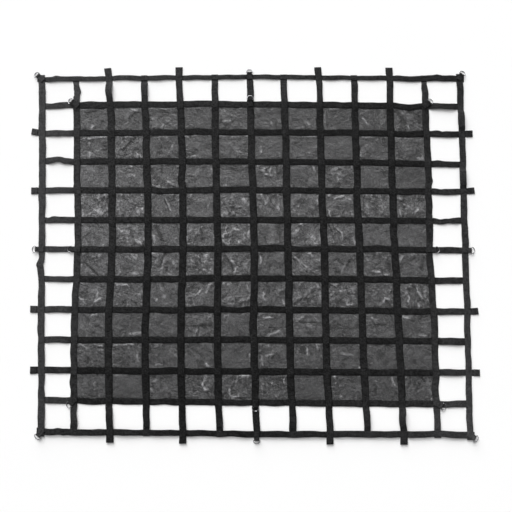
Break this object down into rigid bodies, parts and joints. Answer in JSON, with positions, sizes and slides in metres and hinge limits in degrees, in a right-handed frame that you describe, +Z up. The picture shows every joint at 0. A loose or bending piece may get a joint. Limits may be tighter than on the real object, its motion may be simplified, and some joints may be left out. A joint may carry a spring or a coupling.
{
  "type": "cargo net",
  "caption": "Black webbing cargo net: straps sewn in a grid, fine grey mesh under the inner cells, folded strap-end tabs, and D-rings on short loops at corners and mid-sides.",
  "frame": {"origin": "middle of the box round the net, on the plane it lies on", "axes": "+X along the net's length, +Y across it towards the far edge, +Z up from the floor"},
  "size_m": [2.5494, 2.1542, 0.0149],
  "materials": {
    "webbing": "flat-woven black polypropylene webbing, dull",
    "mesh_cloth": "fine coated mesh, dark grey, slightly glossy and crinkled",
    "ring_steel": "bright plated steel wire"
  },
  "bodies": {
    "root": {"loop_inner_far": "webbing", "loop_inner_far_left": "webbing", "loop_inner_far_right": "webbing", "loop_inner_left": "webbing", "loop_inner_near": "webbing", "loop_inner_near_left": "webbing", "loop_inner_near_right": "webbing", "loop_inner_right": "webbing", "loop_outer_far": "webbing", "loop_outer_far_left": "webbing", "loop_outer_far_right": "webbing", "loop_outer_left": "webbing", "loop_outer_near": "webbing", "loop_outer_near_left": "webbing", "loop_outer_near_right": "webbing", "loop_outer_right": "webbing", "mesh_panel": "mesh_cloth", "ring_inner_far": "ring_steel", "ring_inner_far_left": "ring_steel", "ring_inner_far_right": "ring_steel", "ring_inner_left": "ring_steel", "ring_inner_near": "ring_steel", "ring_inner_near_left": "ring_steel", "ring_inner_near_right": "ring_steel", "ring_inner_right": "ring_steel", "ring_outer_far": "ring_steel", "ring_outer_far_left": "ring_steel", "ring_outer_far_right": "ring_steel", "ring_outer_left": "ring_steel", "ring_outer_near": "ring_steel", "ring_outer_near_left": "ring_steel", "ring_outer_near_right": "ring_steel", "ring_outer_right": "ring_steel", "strap_h00": "webbing", "strap_h01": "webbing", "strap_h02": "webbing", "strap_h03": "webbing", "strap_h04": "webbing", "strap_h05": "webbing", "strap_h06": "webbing", "strap_h07": "webbing", "strap_h08": "webbing", "strap_h09": "webbing", "strap_h10": "webbing", "strap_h11": "webbing", "strap_h12": "webbing", "strap_v00": "webbing", "strap_v01": "webbing", "strap_v02": "webbing", "strap_v03": "webbing", "strap_v04": "webbing", "strap_v05": "webbing", "strap_v06": "webbing", "strap_v07": "webbing", "strap_v08": "webbing", "strap_v09": "webbing", "strap_v10": "webbing", "strap_v11": "webbing", "strap_v12": "webbing"}
  },
  "joints": []
}
